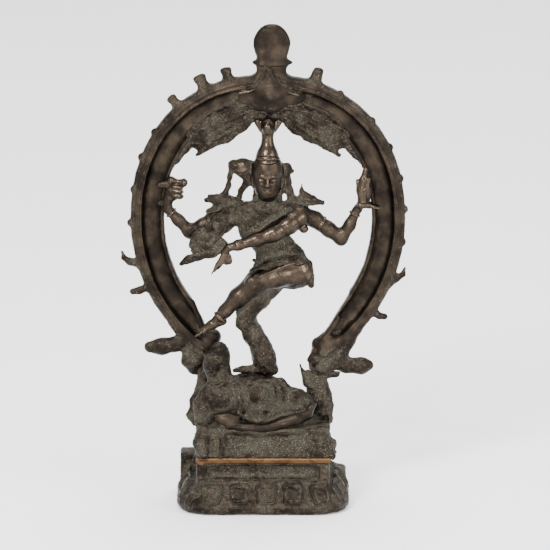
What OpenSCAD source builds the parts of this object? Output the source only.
// Small South Asian bronze of Shiva as lord of the dance.
// The dancer stands on a prone dwarf inside a flaming arch. Every casting is
// its own piece: pegs, tangs and rivets hold the statue together, and the
// whole statue lifts off a hollow lotus plinth.

/* [Plinth] */
// Width of the lotus plinth at its foot
plinth_w = 64; // [60:1:68]
// Depth of the lotus plinth at its foot
plinth_d = 44; // [42:1:48]
// Height of the plinth up to the seat of the pedestal
plinth_h = 19.5; // [18:0.5:21]
// Height of the upright rim round the foot
rim_h = 3.6; // [3:0.2:5]
// Radius of the rounded corners of the foot
corner_r = 12; // [8:0.5:13]
// Wall of the hollow plinth
wall = 2.6; // [2:0.1:3]
// Box petals along the front and the back
petal_count = 5; // [3:2:7]

/* [Pedestal] */
// Width of the upper pedestal
pedestal_w = 51; // [48:1:54]
// Depth of the upper pedestal
pedestal_d = 34; // [32:1:36]
// Height of the upper pedestal
pedestal_h = 12.5; // [11:0.5:14]
// Width of the spigot below the pedestal
spigot_w = 28; // [24:1:30]
// Depth of the spigot below the pedestal
spigot_d = 16; // [12:1:18]
// Length of the spigot below the pedestal
spigot_h = 9; // [6:0.5:10]
// Gap round the spigot in the mortise of the plinth
seat_gap = 0.4; // [0.3:0.1:0.8]

/* [Arch] */
// Half the width of the arch, to the middle of its band
arch_half_w = 44.3; // [42:0.1:46]
// Height of the upper half of the arch, to the middle of its band
arch_half_h = 48.2; // [46:0.1:50]
// Height of the widest place of the arch above the pedestal
spring_z = 74; // [72:0.5:76]
// Width of the band
band_w = 12.5; // [11:0.5:13.5]
// Thickness of the band
band_t = 5; // [4.5:0.1:6]
// Width of the smooth channel along the band
channel_w = 6.6; // [5:0.1:7.5]
// Depth of the smooth channel
channel_depth = 1.2; // [0.8:0.1:1.6]
// Radius of the legs below the widest place
leg_r = 58; // [56:1:60]
// Angle that each leg turns through
leg_sweep = 54; // [50:1:56]
// Diameter of the pins that hold the tangs of the arch
arch_pin_d = 2; // [1.6:0.1:2.4]
// Diameter of the disc of the finial
finial_d = 13.7; // [12:0.1:15]

/* [Dancer] */
// Width of the head
head_w = 10.4; // [9:0.1:11]
// Height of the head
head_h = 16; // [15:0.5:17]
// Diameter of an upper arm
arm_d = 5.6; // [5:0.1:6]
// Diameter of a thigh
thigh_d = 9.6; // [9:0.1:10.2]
// Diameter of the pegs between the castings
peg_d = 2.4; // [2:0.1:3]

/* [Hidden] */

bronze = "#4a3f37";
worn = "#5d4a40";
patina = "#6a6553";
bright = "#96693c";

$fn = 48;
soft_fn = 16;
eps = 0.01;

deck_z = plinth_h + pedestal_h;
skirt_top_z = 13.6;
neck_top_z = 17.2;
neck_w = 43;
neck_d = 30;
hollow_h = neck_top_z - wall;
lip_h = 1.4;
lip_w = 52;
lip_d = 35;

arch_x = 1.8;
arch_y = 6;
arch_front = arch_y - band_t / 2;
arch_back = arch_y + band_t / 2;
arch_power = 2.2;
hook_reach = 53;
arch_steps = 20;
leg_steps = 8;
tang_w = 6;
tang_t = 2.6;
tang_l = 7;
tang_gap = 0.04;
foot_h = 15;
foot_d = 9;
spigot_r = 2.5;
spigot_l = 6;

// ---------------------------------------------------------------- helpers

// Outline of a rectangle with round corners of six flats each.
function rounded_plan(w, d, r) = [
    for (q = [[1, 1, 0], [-1, 1, 90], [-1, -1, 180], [1, -1, 270]], a = [0 : 15 : 90])
        [q[0] * (w / 2 - r) + r * cos(q[2] + a), q[1] * (d / 2 - r) + r * sin(q[2] + a)]
];

// Box with upright rounded corners, centred on the Z axis.
module rounded_block(w, d, h, r) {
    linear_extrude(h) polygon(rounded_plan(w, d, r));
}

// Block whose rounded plan shrinks from w0 by d0 at the foot to w1 by d1 at height h.
module tapered_block(w0, d0, w1, d1, h, r) {
    hull() {
        rounded_block(w0, d0, eps, r);
        translate([0, 0, h - eps]) rounded_block(w1, d1, eps, r * 0.7);
    }
}

// Soft limb through a list of [x, y, z, radius] stations.
module limb(stations) {
    for (i = [0 : len(stations) - 2]) {
        hull() {
            station_ball(stations[i]);
            station_ball(stations[i + 1]);
        }
    }
}

module station_ball(s) {
    translate([s[0], s[1], s[2]]) sphere(s[3], $fn = soft_fn);
}

// Round bar from point a to point b.
module bar(a, b, r) {
    v = b - a;
    length = norm(v);
    translate(a)
        rotate([0, acos(v[2] / length), atan2(v[1], v[0])])
            cylinder(h = length, r = r);
}

// Lays a flat outline in the upright plane of the arch, from y0 to y1.
module upright(y0, y1) {
    translate([0, y1, 0]) rotate([90, 0, 0]) linear_extrude(y1 - y0) children();
}

// Keeps only what lies in front of the face of the arch.
module before_arch() {
    intersection() {
        children();
        translate([-100, -100, -50]) cube([200, 100 + arch_front, 250]);
    }
}

// ---------------------------------------------------------------- arch line

// Upper half of the arch, a soft-cornered ellipse from the right spring to the left one.
function crest_point(a) = [
    arch_x + arch_half_w * sign(cos(a)) * pow(abs(cos(a)), 2 / arch_power),
    spring_z + arch_half_h * pow(abs(sin(a)), 2 / arch_power)
];

// Leg of the arch, an arc that turns in from the spring. side is 1 on the right.
function leg_point(a, side) = [
    arch_x + side * (arch_half_w - leg_r + leg_r * cos(a)),
    spring_z - leg_r * sin(a)
];

arch_line = concat(
    [for (i = [leg_steps : -1 : 1]) leg_point(leg_sweep * i / leg_steps, 1)],
    [for (i = [0 : arch_steps]) crest_point(180 * i / arch_steps)],
    [for (i = [1 : leg_steps]) leg_point(leg_sweep * i / leg_steps, -1)]
);
arch_last = len(arch_line) - 1;

function unit(v) = v / norm(v);
function end_normal(side) = [side * cos(leg_sweep), -sin(leg_sweep)];
function line_normal(i) =
    i == 0 ? end_normal(1) :
    i == arch_last ? end_normal(-1) :
    let (d = unit(arch_line[i + 1] - arch_line[i - 1])) [d[1], -d[0]];
function offset_line(off) = [for (i = [0 : arch_last]) arch_line[i] + off * line_normal(i)];
function reversed(list) = [for (i = [len(list) - 1 : -1 : 0]) list[i]];

// Flat band between two offsets from the arch line.
module band(inner, outer) {
    polygon(concat(offset_line(outer), reversed(offset_line(inner))));
}

// Everything inside the inner edge of the arch.
module arch_inside() {
    polygon(offset_line(-band_w / 2));
}

// Places its children at an end of the arch line, with -Z running on along the leg.
module at_leg_end(side) {
    end = side > 0 ? arch_line[0] : arch_line[arch_last];
    translate([end[0], arch_y, end[1]]) rotate([0, side * leg_sweep, 0]) children();
}

// Short flame tongue on the outer edge at step i of the arch line.
module tongue(i, length, r) {
    p = arch_line[i] + (band_w / 2 - 1.5) * line_normal(i);
    q = arch_line[i] + (band_w / 2 + length - r * 0.6) * line_normal(i);
    bar([p[0], arch_y, p[1]], [q[0], arch_y, q[1]], r);
}

// ---------------------------------------------------------------- soft forms
// Stations are [x, y, z, radius] above the top of the pedestal.

module torso_form() {
    limb([[11, -1, 54.6, 6.4], [2.5, -1, 56, 6.2], [3.6, -0.4, 64.5, 6.3], [3.2, 0, 71.4, 6.2],
        [-3.2, 0, 71.4, 6.2], [1.2, 0, 77, 5.8], [1.5, -1, 85, 2.9]]);
    limb([[-9.5, 0, 77, 4.7], [11, 0, 77, 4.7]]);
}

module head_form() {
    limb([[1.5, -2, 94, head_w / 2], [1.5, -2.6, 83.6 + head_h / 4, head_w * 0.42]]);
}

module crown_form() {
    limb([[1.5, -1.5, 97.5, 4.7], [1.5, -1, 101, 3.9], [1.7, 0.5, 105.5, 2.1], [1.8, 1.2, 110.4, 2.7]]);
}

module lock_left_form() {
    limb([[-3.5, 0.5, 95, 2.3], [-11.5, 1.6, 94.6, 2.2], [-13.3, 1.8, 88, 1.5], [-13.2, 1.6, 80.5, 1.6]]);
}

module lock_right_form() {
    limb([[5.5, 0, 95.6, 2.3], [9.6, 0.8, 92.5, 2], [9.4, 1, 86, 1.7], [10.6, 1, 80.5, 1.8]]);
}

module sash_left_form() {
    limb([[-9, 1.6, 80.5, 2.2], [-16, 1.8, 83.2, 1.6], [-21, 2.2, 83, 0.9]]);
}

module sash_right_form() {
    limb([[12, 1.6, 80.5, 2.2], [17.5, 1.8, 83.2, 1.5], [22.6, 2.2, 81, 0.9]]);
    limb([[13, 1.6, 81, 1.8], [14, 1.6, 88, 0.8]]);
}

module rear_right_arm_form() {
    r = arm_d / 2;
    limb([[-14, 1, 77.2, r], [-19.5, 1.4, 76, r], [-26.8, 1, 70.4, r], [-35.4, 0.4, 79.4, r * 0.8],
        [-31.6, 1, 86, 3]]);
}

module rear_left_arm_form() {
    r = arm_d / 2;
    limb([[15, 1, 77.2, r], [21, 1.4, 74.5, r], [28.6, 1, 67.8, r], [34.6, 0.6, 80, r * 0.8],
        [43, 1.8, 80.2, 1.8]]);
}

module front_right_arm_form() {
    limb([[-10.5, -3, 76, 3], [-17, -5.5, 68, 3.3], [-23.5, -8, 70, 2.9], [-22.5, -8.6, 75.5, 2.6]]);
}

module front_left_arm_form() {
    limb([[13, -2.5, 76, 3], [3.3, -9.4, 70.6, 2.8], [-12.9, -10, 66.4, 2.3], [-15.8, -10, 62, 2],
        [-19, -9.6, 57.2, 1]]);
}

module arm_cobra_form() {
    limb([[-16.5, -7.5, 64.8, 2], [-23.5, -7.6, 65.4, 2.2], [-27.6, -6.6, 62.4, 1.4],
        [-31, -5.4, 60.2, 0.8]]);
}

module raised_leg_form() {
    r = thigh_d / 2;
    limb([[11, -3, 54.6, r], [-1.4, -9, 54.6, r * 0.92], [-9.5, -8.4, 46, r * 0.7],
        [-18.2, -6.4, 38, 2.2], [-23.8, -5.4, 32.8, 1.5]]);
}

module standing_leg_form() {
    r = thigh_d / 2;
    limb([[4.4, -1, 51, r], [-7, -4.6, 41, r * 0.86], [-3.6, -3, 31.5, r * 0.74], [0.8, -2.2, 22.4, 2.4],
        [1, -2.2, 19.4, 2.2]]);
    limb([[5.4, -2.2, 19.4, 2.2], [-11.6, -3.8, 18.9, 1.5]]);
}

module hip_sash_form() {
    limb([[13, 0.6, 59, 2.6], [17, 0.2, 56, 2], [17.4, -0.2, 50, 1.2]]);
}

module dwarf_form() {
    limb([[-12.5, -4, 10.5, 7.2], [-4, -3, 9.6, 8], [7, -3, 9.2, 8.4], [14.5, -3, 7.6, 6.6]]);
    limb([[12, -8, 10, 4.6], [8, -12, 5, 2.6], [16, -12.4, 2.6, 1.9]]);
    limb([[-9.5, -10, 14, 2.4], [-9, -13.2, 5, 1.7]]);
}

module dwarf_head_form() {
    limb([[-14, -6, 15, 4.4], [-18.2, -8, 21.6, 3.7], [-15.6, -7.2, 26.4, 3.8]]);
}

module dwarf_cobra_form() {
    limb([[-13.4, -14, 3.2, 2.2], [-6, -14.8, 1.9, 1.6], [6, -14.8, 1.8, 1.5], [14, -14, 3, 1.4],
        [18, -13, 10, 1]]);
}

// Pegs between castings, from end to end.
module neck_peg() { bar([1.5, -1, 82], [1.5, -1.6, 89.5], peg_d / 2); }
module foot_peg() { bar([-3, -3, 12.5], [-3, -3, 18.8], peg_d / 2); }
module hip_peg() { bar([3.4, 0.6, 49.5], [4.2, 2.2, 58], peg_d / 2); }
module thigh_peg() { bar([8.5, -1.4, 54.6], [11, -3, 54.6], peg_d / 2); }
module crown_peg() { bar([1.5, -2, 95.5], [1.5, -1.6, 101], peg_d / 2); }
module dwarf_neck_peg() { bar([-13, -5.4, 12], [-15.4, -6.6, 18.4], peg_d / 2); }
module finial_peg() { translate([finial_x, arch_y, 126]) cylinder(h = 8.4, r = peg_d / 2); }

// Rivets that hold the dwarf down on the pedestal.
module rivet_shanks() {
    for (x = [-9, 10]) translate([x, -3, -7]) cylinder(h = 12, r = peg_d / 2);
}

// ---------------------------------------------------------------- arch parts

finial_x = 3.5;

// Tang below an end of the arch, or the slot for it where gap is above 0.
module tang(side, gap = 0) {
    at_leg_end(side)
        translate([-tang_w / 2 - gap, -tang_t / 2 - gap, -tang_l - gap])
            cube([tang_w + 2 * gap, tang_t + 2 * gap, tang_l + 2 * gap]);
}

module pin(side) {
    at_leg_end(side)
        translate([0, -foot_d / 2, -tang_l * 0.55]) rotate([-90, 0, 0]) cylinder(h = foot_d, r = arch_pin_d / 2);
}

// Foot of the arch: a post with a spigot, a wide cap and a slot for the tang.
module arch_foot(side) {
    difference() {
        union() {
            upright(arch_y - foot_d / 2, arch_y + foot_d / 2) {
                polygon([[side * 14, foot_h], [side * 29, foot_h], [side * 30.5, foot_h + 9],
                    [side * 27, 30], [side * 15.5, 34]]);
            }
            translate([side * 22 - 4, arch_y - 3.5, 0]) cube([8, 7, foot_h + 1]);
            translate([side * 22, arch_y, -spigot_l]) cylinder(h = spigot_l + 2, r = spigot_r);
        }
        at_leg_end(side) translate([-30, -30, -tang_gap]) cube(60);
        tang(side, tang_gap);
        pin(side);
    }
}

// ---------------------------------------------------------------- castings

module lotus_plinth() {
    petal_pitch = (neck_w + 4) / petal_count;
    color(bronze) difference() {
        union() {
            rounded_block(plinth_w, plinth_d, rim_h, corner_r);
            translate([0, 0, rim_h])
                tapered_block(plinth_w - 3, plinth_d - 3, neck_w, neck_d, skirt_top_z - rim_h, corner_r - 1.5);
            translate([0, 0, skirt_top_z - eps]) rounded_block(neck_w, neck_d, plinth_h - skirt_top_z, 3);
            translate([0, 0, neck_top_z]) rounded_block(lip_w - 2, lip_d - 2, plinth_h - neck_top_z, 4);
            for (i = [0 : petal_count - 1], side = [-1, 1]) {
                translate([(i - (petal_count - 1) / 2) * petal_pitch, side * (neck_d / 2 + 2.2), 8.6])
                    rotate([side * 32, 0, 0]) cube([petal_pitch - 2, 3.6, 7.6], center = true);
            }
            for (x = [-1, 1]) {
                translate([x * 23, -16.5, 9.5]) cube([3, 4, 12], center = true);
                translate([x * 27.4, 12, 9]) cube([5, 7, 15], center = true);
            }
        }
        translate([0, 0, -eps]) rounded_block(plinth_w - 2 * wall, plinth_d - 2 * wall, rim_h, corner_r - wall);
        translate([0, 0, rim_h - 2 * eps])
            tapered_block(plinth_w - 2 * wall, plinth_d - 2 * wall, neck_w - 2 * wall, neck_d - 2 * wall,
                hollow_h - rim_h, corner_r - wall);
        translate([-spigot_w / 2 - seat_gap, -spigot_d / 2 - seat_gap, 0])
            cube([spigot_w + 2 * seat_gap, spigot_d + 2 * seat_gap, plinth_h + 1]);
    }
}

module upper_pedestal() {
    color(patina) translate([0, 0, plinth_h]) difference() {
        union() {
            rounded_block(lip_w, lip_d, lip_h, 4);
            rounded_block(pedestal_w, pedestal_d, pedestal_h, 5);
            translate([-spigot_w / 2, -spigot_d / 2, -spigot_h]) cube([spigot_w, spigot_d, spigot_h + 1]);
        }
        translate([0, 0, pedestal_h]) {
            rivet_shanks();
            for (side = [-1, 1]) {
                translate([side * 22, arch_y, -spigot_l - 0.2]) cylinder(h = 20, r = spigot_r + 0.04);
            }
        }
    }
}

module on_deck() { translate([0, 0, deck_z]) children(); }

module above_deck() {
    intersection() {
        children();
        translate([-100, -100, 0]) cube([200, 200, 200]);
    }
}

module dwarf_body() {
    color(patina) on_deck() above_deck() difference() {
        dwarf_form();
        dwarf_cobra_form();
        standing_leg_form();
        foot_peg();
        rivet_shanks();
        dwarf_neck_peg();
    }
}

module dwarf_head() {
    color(bronze) on_deck() difference() {
        union() {
            difference() {
                dwarf_head_form();
                dwarf_form();
            }
            dwarf_neck_peg();
        }
        standing_leg_form();
    }
}

module dwarf_cobra() { color(worn) on_deck() above_deck() dwarf_cobra_form(); }

module seat_rivets() { color(bright) on_deck() rivet_shanks(); }

module flame_arch() {
    nub_steps = [8, 10, 12, 13, 15, 24, 25, 27];
    stub_steps = [16, 20, 21, 22];
    color(bronze) on_deck() difference() {
        union() {
            upright(arch_front, arch_back) band(-band_w / 2, band_w / 2);
            upright(arch_front - 0.8, arch_back)
                polygon([[-4.8, 117.5], [8.6, 117.5], [6, 123], [finial_x + 5.4, 127], [finial_x + 5.4, 132],
                    [finial_x - 5.4, 132], [finial_x - 5.4, 127], [-1.6, 123]]);
            for (i = nub_steps) tongue(i, 1.4, 1.3);
            for (i = stub_steps) tongue(i, 4, 1.6);
            tongue(2, 4.6, 2);
            tongue(32, 6, 2);
            limb([[-46, arch_y, 57.5, 2.2], [1.2 - hook_reach, arch_y, 60.4, 1.2]]);
            limb([[45.6, arch_y, 50, 2.2], [hook_reach - 1.2, arch_y, 54.4, 1.2]]);
            limb([[-28.6, arch_y, 28, 2.2], [-40.4, arch_y, 26.4, 3.1]]);
            tang(1);
            tang(-1);
        }
        upright(arch_front - 1, arch_front + channel_depth) difference() {
            band(-channel_w / 2, channel_w / 2);
            translate([-6, 110]) square([16, 30]);
        }
        pin(1);
        pin(-1);
        finial_peg();
    }
}

module arch_foot_left() { color(bronze) on_deck() arch_foot(-1); }

// The right foot also carries a broad leaf on its outer side.
module arch_foot_right() {
    color(bronze) on_deck() {
        arch_foot(1);
        difference() {
            limb([[29, arch_y, 18.6, 2.2], [36.7, arch_y, 18.4, 3.1]]);
            translate([0, 0, foot_h - 20]) cube([29, 20, 60]);
        }
    }
}

module arch_pins() {
    color(bright) on_deck() {
        pin(1);
        pin(-1);
    }
}

module finial() {
    color(bronze) on_deck() {
        translate([finial_x, arch_y, 132 + 1.2]) cube([14.2, 5.4, 2.4], center = true);
        translate([finial_x, arch_y + 2.4, 147.6 - finial_d / 2]) rotate([90, 0, 0])
            cylinder(h = 4.8, r = finial_d / 2);
        finial_peg();
    }
}

module plume_hub() {
    color(patina) on_deck() upright(arch_front, arch_back) intersection() {
        arch_inside();
        translate([finial_x, 115.6]) circle(6.4);
    }
}

// Feathered wing under the arch, from the hub out to its tip.
module plume(side) {
    upright(arch_front + 0.4, arch_back - 0.6) difference() {
        intersection() {
            arch_inside();
            union() {
                hull() {
                    translate([finial_x + side * 6, 113.6]) circle(3.6);
                    translate([arch_x + side * 17.4, 107]) circle(5.4);
                }
                hull() {
                    translate([arch_x + side * 17.4, 107]) circle(5.4);
                    translate([arch_x + side * 26, 100.4]) circle(1.6);
                }
            }
        }
        translate([finial_x, 115.6]) circle(6.4);
    }
}

module plume_left() { color(patina) on_deck() plume(-1); }
module plume_right() { color(patina) on_deck() plume(1); }

module torso() {
    color(patina) on_deck() difference() {
        torso_form();
        raised_leg_form();
        standing_leg_form();
        front_left_arm_form();
        front_right_arm_form();
        rear_left_arm_form();
        rear_right_arm_form();
        neck_peg();
        hip_peg();
        thigh_peg();
    }
}

module head() {
    color(bronze) on_deck() {
        difference() {
            head_form();
            torso_form();
            crown_peg();
        }
        neck_peg();
    }
}

module crown() {
    color(bronze) on_deck() before_arch() {
        difference() {
            crown_form();
            head_form();
        }
        crown_peg();
    }
}

module hair_lock_left() {
    color(patina) on_deck() difference() {
        lock_left_form();
        head_form();
        torso_form();
        crown_form();
        rear_right_arm_form();
    }
}

module hair_lock_right() {
    color(patina) on_deck() difference() {
        lock_right_form();
        head_form();
        torso_form();
        crown_form();
    }
}

module sash_left() {
    color(bronze) on_deck() difference() {
        sash_left_form();
        torso_form();
        lock_left_form();
        rear_right_arm_form();
    }
}

module sash_right() {
    color(bronze) on_deck() difference() {
        sash_right_form();
        torso_form();
        lock_right_form();
        rear_left_arm_form();
    }
}

module rear_right_arm() {
    color(worn) on_deck() before_arch() difference() {
        rear_right_arm_form();
        front_right_arm_form();
        drum_form();
    }
}

module rear_left_arm() {
    color(worn) on_deck() before_arch() difference() {
        rear_left_arm_form();
        front_left_arm_form();
    }
}

// Waisted hand drum, lying across the hand.
module drum_form() {
    translate([-30.8, 0.2, 89.6]) rotate([0, 62, 0]) rotate_extrude() {
        polygon([[0, -3.2], [2.6, -3.2], [2.6, -2.6], [1.3, 0], [2.6, 2.6], [2.6, 3.2], [0, 3.2]]);
    }
}

module drum() { color(worn) on_deck() drum_form(); }

module flame() {
    color(worn) on_deck() before_arch() difference() {
        limb([[36, 0.8, 81, 2.1], [35.8, 0.8, 88, 1.9], [38.4, 0.8, 95, 0.8]]);
        rear_left_arm_form();
    }
}

module front_right_arm() { color(worn) on_deck() front_right_arm_form(); }

module arm_cobra() {
    color(worn) on_deck() difference() {
        arm_cobra_form();
        front_right_arm_form();
        front_left_arm_form();
    }
}

module front_left_arm() { color(worn) on_deck() front_left_arm_form(); }

module hip_sash() {
    color(patina) on_deck() difference() {
        hip_sash_form();
        torso_form();
        raised_leg_form();
        standing_leg_form();
    }
}

module raised_leg() {
    color(worn) on_deck() {
        raised_leg_form();
        thigh_peg();
    }
}

module standing_leg() {
    color(worn) on_deck() {
        difference() {
            standing_leg_form();
            raised_leg_form();
        }
        foot_peg();
        hip_peg();
    }
}

// ---------------------------------------------------------------- assembly

lotus_plinth();
upper_pedestal();
dwarf_body();
dwarf_head();
dwarf_cobra();
seat_rivets();
flame_arch();
arch_foot_left();
arch_foot_right();
arch_pins();
finial();
plume_hub();
plume_left();
plume_right();
torso();
head();
crown();
hair_lock_left();
hair_lock_right();
sash_left();
sash_right();
rear_right_arm();
drum();
rear_left_arm();
flame();
front_right_arm();
arm_cobra();
front_left_arm();
hip_sash();
raised_leg();
standing_leg();
